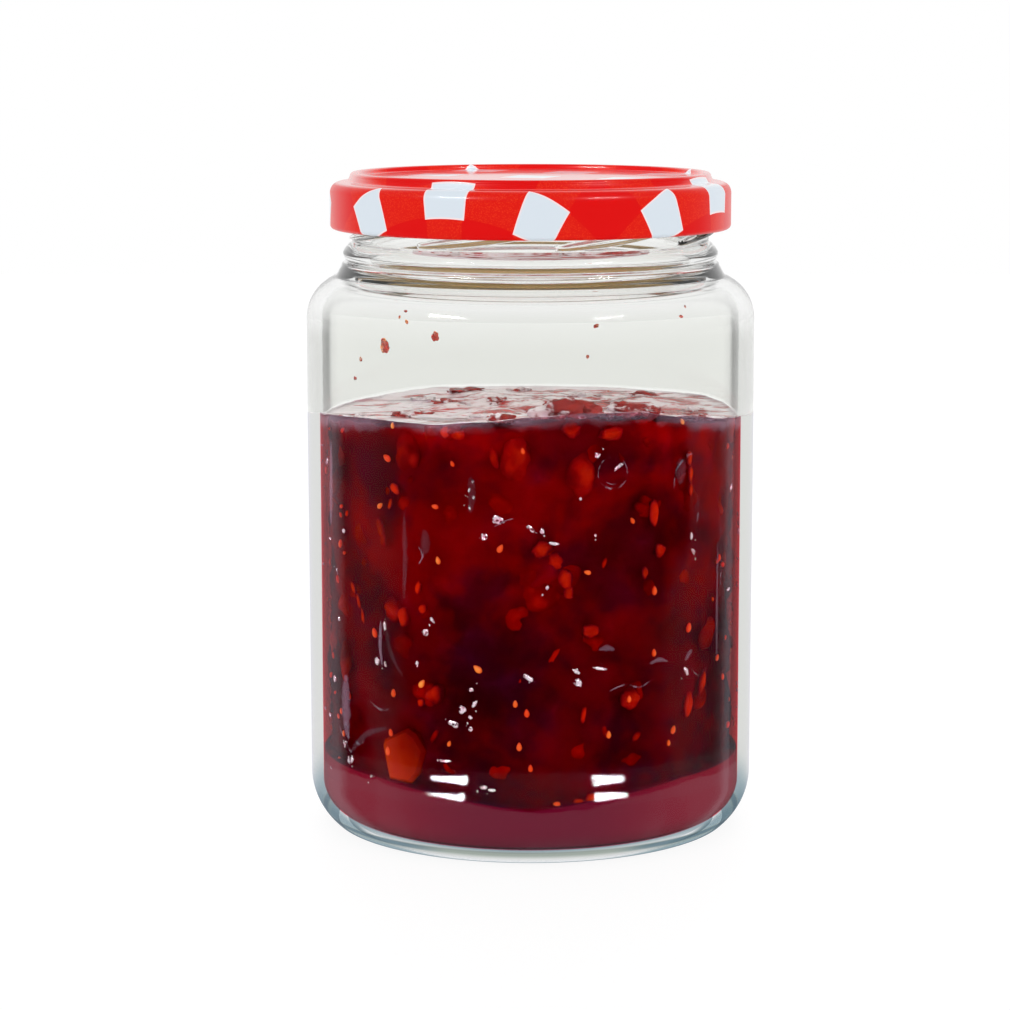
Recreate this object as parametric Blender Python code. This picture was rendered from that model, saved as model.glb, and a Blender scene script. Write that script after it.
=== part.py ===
"""A clear glass storage jar with a twist-off tinplate lid, about two thirds full of jam.

Three solids, all turned about +Z, with the jar's standing ring on Z = 0: the glass jar with its
thread ridges, the lid with its rolled edge, and the jam with its heaped top.
"""

import math

import bmesh
import bpy

MM = 0.001

# Driving dimensions, in millimetres.
TURN_STEPS = 52  # facets round each turned piece
FIT_GAP = 0.3  # clearance that keeps touching pieces apart

# Outside of the glass.
SHOULDER_RADIUS = 47.9  # body radius where the shoulder begins
FOOT_RADIUS = 47.75  # body radius just above the heel, a slight draft
HEEL_ROUND = 14.0
FOOT_ROUND = 1.5
RING_OUTER = 42.0  # flat standing ring
RING_INNER = 40.0
PUSH_UP = 1.4  # height of the base's underside at the centre
SHOULDER_ROUND = 9.8
SHOULDER_START = 109.0
COLLAR_RADIUS = 40.2  # the plain step between the shoulder and the bead
COLLAR_BOTTOM = 118.9
COLLAR_TOP = 121.0
GROOVE_RADIUS = 39.0
BEAD_RADIUS = 40.0
BEAD_TOP = 124.6
NECK_RADIUS = 38.0
MOUTH_TOP = 138.1
LIP_FLAT = 1.2  # width of the lip between its two rounded edges

# Inside of the glass.
INNER_RADIUS = 44.7
INNER_HEEL_ROUND = 6.5
FLOOR_AT_HEEL = 2.5
FLOOR_AT_CENTRE = 3.9
INNER_SHOULDER_ROUND = 7.2
THROAT_ROUND = 2.6  # where the shoulder turns up into the bore
BORE_RADIUS = 34.3

# Thread: slanting ridges round the neck that the lid's lugs turn under.
RIDGE_COUNT = 8
RIDGE_FIRST = 235.0  # where the first ridge's low end lies, in degrees of turn from +X
RIDGE_SWEEP = 40.0  # degrees of turn that one ridge covers
RIDGE_LOW = 126.3
RIDGE_RISE = 3.4
RIDGE_REACH = 1.9  # how far a ridge stands out from the neck
RIDGE_HALF_HEIGHT = 1.0
RIDGE_SINK = 1.0  # how deep its root lies in the neck
RIDGE_STATIONS = 7
RIDGE_BLUNT = 0.06  # keeps each end of a ridge from running out to a point

# Lid.
LID_TOP = 140.0
LID_RADIUS = 42.7
LID_SHEET = 0.5
LID_SHOULDER_TOP = 138.0
LID_SHOULDER_ROUND = 2.3
PANEL_RIM_RADIUS = 38.4
PANEL_RIM_ROUND = 0.8
PANEL_RIM_WIDTH = 2.1
PANEL_DEPTH = 1.1  # the middle panel lies this far below its rim
RISER_RUN = 0.9  # how far the step from that rim down to the shoulder runs outwards
CURL_RADIUS = 0.95  # rolled bottom edge
CURL_TUCK = 1.6  # the roll ends this far above its own middle, against the skirt
CURL_BOTTOM = 128.1

# Jam.
JAM_LEVEL = 89.2
JAM_RIPPLE = 0.25  # height of the shallow waves between the heaps
JAM_TOP_RINGS = 8
# Heaps on the jam's top: turn from +X in degrees, radius, height and spread, in millimetres.
JAM_HEAPS = (
    (264.0, 37.0, 3.2, 13.0),
    (280.0, 39.0, 1.7, 8.0),
    (222.0, 39.0, 1.3, 10.0),
    (318.0, 37.0, 1.6, 9.0),
    (28.0, 30.0, 1.7, 8.0),
    (120.0, 28.0, 1.3, 12.0),
    (80.0, 10.0, 0.9, 14.0),
)


def clear_scene():
    for obj in list(bpy.data.objects):
        bpy.data.objects.remove(obj, do_unlink=True)


def make_material(name, colour, roughness, metallic=0.0, transmission=0.0):
    material = bpy.data.materials.new(name)
    material.use_nodes = True
    shader = material.node_tree.nodes["Principled BSDF"]
    shader.inputs["Base Color"].default_value = (*colour, 1.0)
    shader.inputs["Roughness"].default_value = roughness
    shader.inputs["Metallic"].default_value = metallic
    shader.inputs["Transmission Weight"].default_value = transmission
    return material


def arc(centre, radius, start, end, steps):
    """Points (r, z) of an arc about centre, from the angle start to end in degrees."""
    points = []
    for step in range(steps + 1):
        angle = math.radians(start + (end - start) * step / steps)
        points.append((centre[0] + radius * math.cos(angle), centre[1] + radius * math.sin(angle)))
    return points


def turn(profile):
    """A bmesh of an outline that starts and ends on the axis, points (r, z), turned about +Z."""
    mesh = bmesh.new()
    verts = [mesh.verts.new((r * MM, 0.0, z * MM)) for r, z in profile]
    edges = [mesh.edges.new(pair) for pair in zip(verts, verts[1:])]
    bmesh.ops.spin(
        mesh,
        geom=verts + edges,
        cent=(0.0, 0.0, 0.0),
        axis=(0.0, 0.0, 1.0),
        angle=math.tau,
        steps=TURN_STEPS,
        use_merge=True,
    )
    bmesh.ops.remove_doubles(mesh, verts=mesh.verts, dist=0.01 * MM)
    bmesh.ops.recalc_face_normals(mesh, faces=mesh.faces)
    return mesh


def finish_object(name, mesh, material):
    data = bpy.data.meshes.new(name)
    mesh.to_mesh(data)
    mesh.free()
    data.materials.append(material)
    data.shade_smooth()
    data.set_sharp_from_angle(angle=math.radians(40.0))
    obj = bpy.data.objects.new(name, data)
    bpy.context.scene.collection.objects.link(obj)
    return obj


def heel_outline():
    """The outer heel, from the standing ring up to the body: a small round, then a large one."""
    centre_r = FOOT_RADIUS - HEEL_ROUND
    reach = HEEL_ROUND - FOOT_ROUND
    centre_z = FOOT_ROUND + math.sqrt(reach**2 - (RING_OUTER - centre_r) ** 2)
    meet = math.degrees(math.atan2(FOOT_ROUND - centre_z, RING_OUTER - centre_r))
    small = arc((RING_OUTER, FOOT_ROUND), FOOT_ROUND, -90.0, meet, 2)
    large = arc((centre_r, centre_z), HEEL_ROUND, meet, 0.0, 4)
    return small + large[1:]


def outer_glass():
    """The outside, from the middle of the underside up to the mouth."""
    dome = (RING_INNER * 0.55, PUSH_UP * 0.75)
    points = [(0.0, PUSH_UP), dome, (RING_INNER - 1.2, 0.4), (RING_INNER, 0.0)]
    points += heel_outline()
    shoulder_centre = (SHOULDER_RADIUS - SHOULDER_ROUND, SHOULDER_START)
    points += arc(shoulder_centre, SHOULDER_ROUND, 0.0, 62.0, 5)
    # The shoulder sweeps up into the collar, then come a groove, the rounded bead and the neck.
    points += [
        (COLLAR_RADIUS + 1.0, COLLAR_BOTTOM),
        (COLLAR_RADIUS + 0.1, COLLAR_BOTTOM + 1.0),
        (COLLAR_RADIUS - 0.1, COLLAR_TOP - 0.2),
        (GROOVE_RADIUS, COLLAR_TOP + 0.25),
        (BEAD_RADIUS - 0.3, COLLAR_TOP + 0.9),
        (BEAD_RADIUS, COLLAR_TOP + 1.9),
        (BEAD_RADIUS - 0.3, BEAD_TOP - 0.7),
        (BEAD_RADIUS - 1.1, BEAD_TOP),
        (NECK_RADIUS, BEAD_TOP + 0.5),
    ]
    return points


def mouth_lip():
    """The rounded lip, from the outside of the neck over to the bore."""
    edge = (NECK_RADIUS - BORE_RADIUS - LIP_FLAT) / 2.0
    outer = arc((NECK_RADIUS - edge, MOUTH_TOP - edge), edge, 0.0, 90.0, 2)
    inner = arc((BORE_RADIUS + edge, MOUTH_TOP - edge), edge, 90.0, 180.0, 2)
    return outer + inner


def inner_shoulder():
    """The inside of the shoulder, from the bore down to the body's inner wall."""
    centre = (INNER_RADIUS - INNER_SHOULDER_ROUND, SHOULDER_START)
    throat_centre = (BORE_RADIUS + THROAT_ROUND, SHOULDER_START + INNER_SHOULDER_ROUND + THROAT_ROUND)
    throat = arc(throat_centre, THROAT_ROUND, 180.0, 255.0, 3)
    return throat + arc(centre, INNER_SHOULDER_ROUND, 80.0, 0.0, 4)


def inner_heel(gap):
    """The inside of the heel down to the middle of the floor, set in by gap all round."""
    centre = (INNER_RADIUS - INNER_HEEL_ROUND, FLOOR_AT_HEEL + INNER_HEEL_ROUND)
    points = arc(centre, INNER_HEEL_ROUND - gap, 0.0, -90.0, 3)
    dome = FLOOR_AT_HEEL + 0.75 * (FLOOR_AT_CENTRE - FLOOR_AT_HEEL)
    points += [(centre[0] * 0.55, dome + gap), (0.0, FLOOR_AT_CENTRE + gap)]
    return points


def ridge_mesh(mesh, turn_start):
    """Adds one thread ridge: a tapered bar that climbs round the neck, its root inside the glass."""
    rings = []
    for station in range(RIDGE_STATIONS):
        along = station / (RIDGE_STATIONS - 1)
        swell = math.sin(math.pi * (RIDGE_BLUNT + (1.0 - 2.0 * RIDGE_BLUNT) * along)) ** 0.5
        angle = math.radians(turn_start + RIDGE_SWEEP * along)
        height = RIDGE_LOW + RIDGE_RISE * along
        root = NECK_RADIUS - RIDGE_SINK
        crest = NECK_RADIUS + RIDGE_REACH * swell
        half = RIDGE_HALF_HEIGHT * swell
        section = ((root, -half), (crest, -0.45 * half), (crest, 0.45 * half), (root, half))
        rings.append(
            [
                mesh.verts.new((r * math.cos(angle) * MM, r * math.sin(angle) * MM, (height + z) * MM))
                for r, z in section
            ]
        )
    for ring, following in zip(rings, rings[1:]):
        for corner in range(len(ring)):
            beside = (corner + 1) % len(ring)
            mesh.faces.new((ring[corner], ring[beside], following[beside], following[corner]))
    mesh.faces.new(list(reversed(rings[0])))
    mesh.faces.new(rings[-1])


def make_jar(material):
    profile = outer_glass() + mouth_lip() + inner_shoulder() + inner_heel(0.0)
    jar = finish_object("jar", turn(profile), material)

    ridges = bmesh.new()
    for index in range(RIDGE_COUNT):
        ridge_mesh(ridges, RIDGE_FIRST + 360.0 / RIDGE_COUNT * index)
    bmesh.ops.recalc_face_normals(ridges, faces=ridges.faces)
    thread = finish_object("thread_ridges", ridges, material)
    thread.hide_render = True
    thread.display_type = "WIRE"

    union = jar.modifiers.new("thread", "BOOLEAN")
    union.operation = "UNION"
    union.object = thread
    return jar


def make_lid(material):
    shoulder = (LID_RADIUS - LID_SHOULDER_ROUND, LID_SHOULDER_TOP - LID_SHOULDER_ROUND)
    rim = (PANEL_RIM_RADIUS - PANEL_RIM_ROUND, LID_TOP - PANEL_RIM_ROUND)
    panel = (PANEL_RIM_RADIUS - PANEL_RIM_WIDTH, LID_TOP - PANEL_DEPTH)
    curl = (LID_RADIUS - CURL_RADIUS, CURL_BOTTOM + CURL_RADIUS)

    outside = [(0.0, panel[1]), panel]
    outside += arc(rim, PANEL_RIM_ROUND, 150.0, 0.0, 5)
    outside += [(PANEL_RIM_RADIUS + RISER_RUN, LID_SHOULDER_TOP + 0.15)]
    outside += arc(shoulder, LID_SHOULDER_ROUND, 85.0, 0.0, 4)
    outside += arc(curl, CURL_RADIUS, 0.0, -225.0, 7)

    inside = [(LID_RADIUS - LID_SHEET, curl[1] + CURL_TUCK)]
    inside += arc(shoulder, LID_SHOULDER_ROUND - LID_SHEET, 0.0, 85.0, 3)
    inside += [
        (PANEL_RIM_RADIUS + RISER_RUN - 0.6 * LID_SHEET, LID_SHOULDER_TOP - 0.8 * LID_SHEET),
        (PANEL_RIM_RADIUS - LID_SHEET, rim[1] - 0.6 * LID_SHEET),
        (rim[0], LID_TOP - LID_SHEET),
        (panel[0], panel[1] - LID_SHEET),
        (0.0, panel[1] - LID_SHEET),
    ]
    return finish_object("lid", turn(outside + inside), material)


def heap_height(x, y):
    """How far the jam's top stands above its level at the point x, y, in millimetres."""
    height = 0.0
    for degrees, radius, peak, spread in JAM_HEAPS:
        angle = math.radians(degrees)
        distance = math.hypot(x - radius * math.cos(angle), y - radius * math.sin(angle))
        height += peak * math.exp(-((distance / spread) ** 2))
    return height + JAM_RIPPLE * math.sin(0.31 * x + 1.0) * math.sin(0.27 * y + 0.4)


def make_jam(material):
    wall = INNER_RADIUS - FIT_GAP
    top = [(wall * ring / JAM_TOP_RINGS, JAM_LEVEL) for ring in range(JAM_TOP_RINGS + 1)]
    mesh = turn(top + inner_heel(FIT_GAP))
    for vert in mesh.verts:
        if vert.co.z > (JAM_LEVEL - 0.01) * MM:
            vert.co.z += heap_height(vert.co.x / MM, vert.co.y / MM) * MM
    return finish_object("jam", mesh, material)


def main():
    clear_scene()
    make_jar(make_material("clear_glass", (0.87, 0.90, 0.88), 0.03, transmission=1.0))
    make_lid(make_material("printed_tinplate", (0.78, 0.03, 0.02), 0.22, metallic=0.2))
    make_jam(make_material("red_jam", (0.16, 0.005, 0.008), 0.18))


main()
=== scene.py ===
# A clear glass storage jar, two thirds full of red fruit jam, under a printed twist-off lid.
import math
import random

import bmesh
import bpy
from mathutils import Euler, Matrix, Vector, noise


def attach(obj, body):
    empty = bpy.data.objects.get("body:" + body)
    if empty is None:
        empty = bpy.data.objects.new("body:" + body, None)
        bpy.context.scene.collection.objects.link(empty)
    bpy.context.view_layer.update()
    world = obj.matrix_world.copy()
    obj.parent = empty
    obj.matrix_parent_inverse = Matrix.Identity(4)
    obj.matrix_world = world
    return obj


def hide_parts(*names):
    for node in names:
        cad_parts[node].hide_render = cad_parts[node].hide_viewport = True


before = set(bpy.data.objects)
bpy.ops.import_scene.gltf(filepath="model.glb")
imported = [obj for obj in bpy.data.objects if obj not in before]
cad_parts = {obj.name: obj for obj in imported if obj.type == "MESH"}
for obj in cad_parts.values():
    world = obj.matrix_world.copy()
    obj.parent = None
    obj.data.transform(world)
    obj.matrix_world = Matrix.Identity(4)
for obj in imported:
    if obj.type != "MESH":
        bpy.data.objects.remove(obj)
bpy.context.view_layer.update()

mm = 0.001
atAxis = 1e-6  # a radius in millimetres below which a point lies on the axis
turnSteps = 288  # facets round each fine turned piece
scene = bpy.context.scene


camera = {
    "lens": 110.5,
    "sensor": 36.0,
    "clipStart": 0.01,
    "distance": 0.6706,  # to the point it aims at
    "pitch": 8.749,  # degrees that it looks down
    "aimHeight": 0.06821,
    "shift": -0.02525,
}
studio = {
    "world": 1.0,  # strength of the even white light from all round
    "aimHeight": 0.08,  # where the softboxes point
    "floorSize": 3.0,
    "floorPaint": 0.1,
    "floorSpeckle": 1.04,  # how much brighter the paint is in its lighter spots
    "floorGlow": 0.9,
    "softboxes": (  # degrees round from the front, elevation, distance, width, height, watts
        (-49.0, 40.0, 1.1, 0.34, 0.055, 14.4),
        (46.5, 39.3, 1.1, 0.30, 0.045, 10.4),
    ),
}


class Wire:
    # an output socket of a node tree, so that shader maths reads as plain expressions
    def __init__(self, tree, socket=None):
        self.tree = tree
        self.socket = socket

    def node(self, kind, settings=None, inputs=None, output=0):
        made = self.tree.nodes.new(kind)
        for name, value in (settings or {}).items():
            setattr(made, name, value)
        for name, value in (inputs or {}).items():
            if isinstance(value, Wire):
                self.tree.links.new(value.socket, made.inputs[name])
            else:
                made.inputs[name].default_value = value
        return Wire(self.tree, made.outputs[output])

    def maths(self, operation, first, second=0.0, clamp=False):
        settings = {"operation": operation, "use_clamp": clamp}
        return self.node("ShaderNodeMath", settings, {0: first, 1: second})

    def __add__(self, other):
        return self.maths("ADD", self, other)

    def __sub__(self, other):
        return self.maths("SUBTRACT", self, other)

    def __rsub__(self, other):
        return self.maths("SUBTRACT", other, self)

    def __mul__(self, other):
        return self.maths("MULTIPLY", self, other)

    def __truediv__(self, other):
        return self.maths("DIVIDE", self, other)

    def __pow__(self, other):
        return self.maths("POWER", self, other)

    def __lt__(self, other):
        return self.maths("LESS_THAN", self, other)

    def clamped(self):
        return self.maths("ADD", self, 0.0, clamp=True)

    def between(self, low, high, soft="SMOOTHSTEP"):
        # 0 below low, 1 above high
        settings = {"interpolation_type": soft}
        return self.node("ShaderNodeMapRange", settings, {"Value": self, "From Min": low, "From Max": high})

    def within(self, rise, fall):
        # 0 below rise and above fall, 1 between them
        return self.between(*rise) * (1.0 - self.between(*fall))


def mixed(share, first, second):
    # a colour between two colours, each a wire or three numbers
    ends = [end if isinstance(end, Wire) else (*end, 1.0) for end in (first, second)]
    wires = [part for part in (share, first, second) if isinstance(part, Wire)]
    settings = {"data_type": "RGBA"}
    return wires[0].node("ShaderNodeMix", settings, {0: share, 6: ends[0], 7: ends[1]}, output=2)


def newMaterial(name):
    # the material, the wire its nodes are added from, and its output node
    material = bpy.data.materials.new(name)
    material.use_nodes = True
    material.node_tree.nodes.clear()
    ground = Wire(material.node_tree)
    ending = material.node_tree.nodes.new("ShaderNodeOutputMaterial")
    return material, ground, ending


def joinTo(ending, shader, volume=None):
    shader.tree.links.new(shader.socket, ending.inputs["Surface"])
    if volume:
        volume.tree.links.new(volume.socket, ending.inputs["Volume"])


def placeOf(ground):
    # the spot on the piece, in metres from the middle of the standing ring
    return ground.node("ShaderNodeTexCoord", {}, {}, output="Object")


def alongAxis(ground, axis):
    # how far the spot lies along X, Y or Z, in millimetres
    return ground.node("ShaderNodeSeparateXYZ", {}, {0: placeOf(ground)}, output=axis) / mm


def heightOf(ground):
    # height above the standing ring, in millimetres
    return alongAxis(ground, "Z")


def acrossJar(ground):
    # -1 at the left of the jar, 0 at its front and back, 1 at its right
    return alongAxis(ground, "X") / radiusOf(ground)


def sideways(ground):
    across = acrossJar(ground)
    return across.maths("ABSOLUTE", across)


def stretched(ground, place, stretch):
    return ground.node("ShaderNodeVectorMath", {"operation": "MULTIPLY"}, {0: place, 1: stretch})


def radiusOf(ground):
    # distance from the jar's axis, in millimetres
    flat = stretched(ground, placeOf(ground), (1.0, 1.0, 0.0))
    return ground.node("ShaderNodeVectorMath", {"operation": "LENGTH"}, {0: flat}, output="Value") / mm


def facingOf(ground):
    # 0 where the surface is seen square on, 1 where it is seen along its length
    return ground.node("ShaderNodeLayerWeight", {}, {"Blend": 0.5}, output="Facing")


def grainOf(ground, place, scale, detail):
    return ground.node("ShaderNodeTexNoise", {}, {"Vector": place, "Scale": scale, "Detail": detail})


def painted(ground, inputs):
    return ground.node("ShaderNodeBsdfPrincipled", {}, inputs)


def clearOf(ground, colour=(1.0, 1.0, 1.0)):
    return ground.node("ShaderNodeBsdfTransparent", {}, {"Color": (*colour, 1.0)})


def layered(ground, share, first, second):
    # the first shader where share is 0, the second where it is 1
    return ground.node("ShaderNodeMixShader", {}, {0: share, 1: first, 2: second})


def makeObject(name, points, faces, materials, slotOf=None, smooth=True):
    data = bpy.data.meshes.new(name)
    data.from_pydata(points, [], faces)
    data.validate()
    for material in materials:
        data.materials.append(material)
    if slotOf:
        data.polygons.foreach_set("material_index", slotOf)
    if smooth:
        data.shade_smooth()
    data.update()
    obj = bpy.data.objects.new(name, data)
    scene.collection.objects.link(obj)
    return obj


def smoothStep(value, low, high):
    share = min(max((value - low) / (high - low), 0.0), 1.0)
    return share * share * (3.0 - 2.0 * share)


def arc(centre, radius, start, end, steps):
    # points (r, z) of an arc about centre, from the angle start to end in degrees
    points = []
    for step in range(steps + 1):
        angle = math.radians(start + (end - start) * step / steps)
        points.append((centre[0] + radius * math.cos(angle), centre[1] + radius * math.sin(angle)))
    return points


def straight(start, end, steps):
    # the points between start and end, without those two
    points = []
    for step in range(1, steps):
        share = step / steps
        points.append(tuple(a + (b - a) * share for a, b in zip(start, end)))
    return points


def eased(points, cuts):
    # a smooth curve through the points, with this many steps from each to the next
    curve = []
    for index in range(len(points) - 1):
        before = points[max(index - 1, 0)]
        start = points[index]
        end = points[index + 1]
        after = points[min(index + 2, len(points) - 1)]
        for cut in range(cuts):
            t = cut / cuts
            spot = []
            for a, b, c, d in zip(before, start, end, after):
                bend = (2 * a - 5 * b + 4 * c - d) * t**2 + (3 * b - a - 3 * c + d) * t**3
                spot.append(0.5 * (2 * b + (c - a) * t + bend))
            curve.append(tuple(spot))
    return curve + [points[-1]]


def turned(outline, reshape=None, steps=turnSteps):
    # points in metres and faces of an outline (r, z) in millimetres, from axis to axis, turned about Z
    # reshape(degrees, r, z) gives a point's own r and z; the face list runs ring by ring
    points = []
    rings = []
    for r, z in outline:
        first = len(points)
        if r < atAxis:
            low = reshape(0.0, r, z)[1] if reshape else z
            points.append((0.0, 0.0, low * mm))
            rings.append([first] * steps)
            continue
        for step in range(steps):
            angle = math.tau * step / steps
            ownR, ownZ = reshape(math.degrees(angle), r, z) if reshape else (r, z)
            points.append((ownR * math.cos(angle) * mm, ownR * math.sin(angle) * mm, ownZ * mm))
        rings.append(list(range(first, first + steps)))
    faces = []
    ringOf = []
    for index in range(len(rings) - 1):
        lower = rings[index]
        upper = rings[index + 1]
        for step in range(steps):
            beside = (step + 1) % steps
            corners = [lower[step], lower[beside], upper[beside], upper[step]]
            faces.append(list(dict.fromkeys(corners)))
            ringOf.append(index)
    return points, faces, ringOf


print("scene: camera, light and floor")


def makeCamera():
    data = bpy.data.cameras.new("camera")
    data.lens = camera["lens"]
    data.sensor_width = camera["sensor"]
    data.shift_x = camera["shift"]
    data.clip_start = camera["clipStart"]
    obj = bpy.data.objects.new("camera", data)
    pitch = math.radians(camera["pitch"])
    back = camera["distance"] * math.cos(pitch)
    obj.location = (0.0, -back, camera["aimHeight"] + camera["distance"] * math.sin(pitch))
    obj.rotation_euler = (math.pi / 2 - pitch, 0.0, 0.0)
    scene.collection.objects.link(obj)
    scene.camera = obj


def makeWorld():
    world = bpy.data.worlds.new("studio")
    world.use_nodes = True
    world.node_tree.nodes["Background"].inputs["Color"].default_value = (1.0, 1.0, 1.0, 1.0)
    world.node_tree.nodes["Background"].inputs["Strength"].default_value = studio["world"]
    scene.world = world
    scene.view_settings.view_transform = "Standard"


def makeSoftboxes():
    aim = Vector((0.0, 0.0, studio["aimHeight"]))
    for index, (turn, rise, distance, width, height, watts) in enumerate(studio["softboxes"]):
        data = bpy.data.lights.new(f"softbox{index}", "AREA")
        data.shape = "RECTANGLE"
        data.size = width
        data.size_y = height
        data.energy = watts
        obj = bpy.data.objects.new(f"softbox{index}", data)
        a = math.radians(turn)
        e = math.radians(rise)
        way = Vector((math.sin(a) * math.cos(e), -math.cos(a) * math.cos(e), math.sin(e)))
        obj.location = aim + way * distance
        obj.rotation_euler = way.to_track_quat("Z", "Y").to_euler()
        obj.visible_diffuse = False  # these two only glint: the bright room lights the jar
        scene.collection.objects.link(obj)


def makeFloor():
    material, ground, ending = newMaterial("paleFloor")
    grain = ground.node("ShaderNodeTexNoise", {}, {"Scale": 40.0, "Detail": 3.0})
    paint = studio["floorPaint"]
    speckle = paint * studio["floorSpeckle"]
    colour = mixed(grain, (paint, paint, paint), (speckle, speckle, speckle))
    inputs = {"Base Color": colour, "Roughness": 0.6, "Specular IOR Level": 0.1,
              "Emission Color": (1.0, 1.0, 1.0, 1.0), "Emission Strength": studio["floorGlow"]}
    joinTo(ending, painted(ground, inputs))
    half = studio["floorSize"] / 2
    corners = [(-half, -half, 0.0), (half, -half, 0.0), (half, half, 0.0), (-half, half, 0.0)]
    makeObject("floor", corners, [(0, 1, 2, 3)], [material], smooth=False)


makeCamera()
makeWorld()
makeSoftboxes()
makeFloor()


glass = {  # millimetres
    "shoulderRadius": 47.9, "footRadius": 47.75, "heelRound": 14.0, "footRound": 1.5,
    "ringOuter": 42.0, "ringInner": 40.0, "pushUp": 1.4,
    "shoulderRound": 9.8, "shoulderStart": 109.0,
    "collarRadius": 40.2, "collarBottom": 119.5, "collarTop": 121.0,
    "grooveRadius": 39.0, "beadRadius": 40.0, "beadTop": 124.6,
    "neckRadius": 38.0, "mouthTop": 138.1, "lipFlat": 1.2,
    "innerRadius": 44.7, "innerHeelRound": 6.5, "floorAtHeel": 2.3, "floorAtCentre": 3.4,
    "innerShoulderRound": 7.2, "throatTop": 122.0, "boreRadius": 34.3,
    "jamLine": 0.45,  # how far over the jam's rim the wall starts to mirror and bend light
    "syrupTop": 11.7,  # at the front, below this smooth syrup fills the heel
    "syrupClimb": 4.0,  # and so much higher at the sides
    "climbBy": 0.7,  # of the way from the front to the side
}
jamRim = (  # degrees round, height where the jam meets the wall
    (0, 88.8), (30, 89.6), (60, 89.2), (90, 89.0), (120, 89.4), (150, 88.6), (180, 88.4), (194, 89.2),
    (204, 90.3), (226, 91.0), (243, 90.9), (257, 91.8), (270, 92.8), (283, 93.5), (297, 93.4),
    (313, 91.7), (335, 89.5), (347, 88.8), (360, 88.8),
)
thread = {
    "count": 8, "first": 235.0, "sweep": 40.0, "low": 126.3, "rise": 3.4,
    "reach": 1.9, "halfHeight": 1.0, "blunt": 0.06,
}
glassLook = {
    "clear": (0.85, 0.858, 0.835),
    "neck": (0.93, 0.935, 0.925),
    "ior": 1.5,
    "gleam": (0.14, 0.14, 0.14),  # softens what the bare wall mirrors
    "neckGleam": (0.60, 0.61, 0.60),
    "neckBottom": 115.0,
    "neckBlend": (105.0, 114.0),  # heights over which the glass turns as clear as the neck
    "insideEnds": (45.4, 46.4),  # radii between which the wall's inside gives way to its outside
    "edge": (0.46, 0.47, 0.445),
    "innerEdge": (0.03, 0.031, 0.028),  # painted shade: a dark line on the inside wall where it is seen along its length
    "wetClear": (0.99, 0.99, 0.99),
    "wetRim": (0.80, 0.80, 0.82),  # where the jam ends at each side
    "wetEdge": (0.815, 0.822, 0.80),
    "heelEdge": (0.31, 0.43, 0.47),  # the thick bottom edge, blue-grey
    "foot": (0.40, 0.46, 0.41),
    "footSide": (0.12, 0.22, 0.26),
    "wetShine": 0.0006,  # share of light that the wall over the jam sends back, seen square on
    "rimShine": 0.062,  # the pale upright band along each side
    "filmShine": 0.0075,  # syrup film, in patches
    "heelShine": 0.021,
    "ringShine": 0.0065,
    "ripple": (13.05, 20.05, 3.5, 18.3, 0.557, 0.024),  # low, high, pitch and crest in mm, slope, swing
    "rippleFade": 0.5,
}
wetBands = {  # heights in millimetres, or from 0 seen square on to 1 seen along the wall
    "low": (4.0, 12.0),
    "edge": (0.61, 0.69),
    "jamEnd": ((0.59, 0.61), (0.668, 0.68)),
    "jamEndHeight": (16.0, 24.0),
    "heelEdge": (0.58, 0.70),
    "foot": ((0.6, 2.4), (2.8, 3.4)),
    "footSide": ((1.5, 2.1), (2.7, 3.2)),
    "footSideways": (0.35, 0.6),  # from the front to the side
    "rim": (0.45, 0.56),
    "rimRight": ((0.50, 0.57), (0.585, 0.605)),  # where the right side's band is weaker: before, after
    "film": (0.14, 0.30),
    "filmPatches": (0.46, 0.52),
}


def rimHeight(degrees):
    # height of the jam's rim at this turn
    for (start, low), (end, high) in zip(jamRim, jamRim[1:]):
        if degrees <= end:
            return low + (high - low) * smoothStep(degrees, start, end)
    return jamRim[-1][1]


def heelOutline():
    # the outer heel, from the standing ring up to the body: a small round, then a large one
    centreR = glass["footRadius"] - glass["heelRound"]
    reach = glass["heelRound"] - glass["footRound"]
    centreZ = glass["footRound"] + math.sqrt(reach**2 - (glass["ringOuter"] - centreR) ** 2)
    meet = math.degrees(math.atan2(glass["footRound"] - centreZ, glass["ringOuter"] - centreR))
    small = arc((glass["ringOuter"], glass["footRound"]), glass["footRound"], -90.0, meet, 10)
    large = arc((centreR, centreZ), glass["heelRound"], meet, 0.0, 24)
    return small + large[1:]


def domeOutline(edge, rise, base, steps):
    # a shallow dome (r, z) from the axis out to the radius edge
    points = []
    for step in range(steps + 1):
        share = step / steps
        points.append((edge * share, base + rise * (1.0 - share**2)))
    return points


meanLine = 92.0  # height of the row of points that then follows the jam's rim
onNeck = 0.01  # how near a point's radius is to the neck's when the thread may move it


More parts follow.
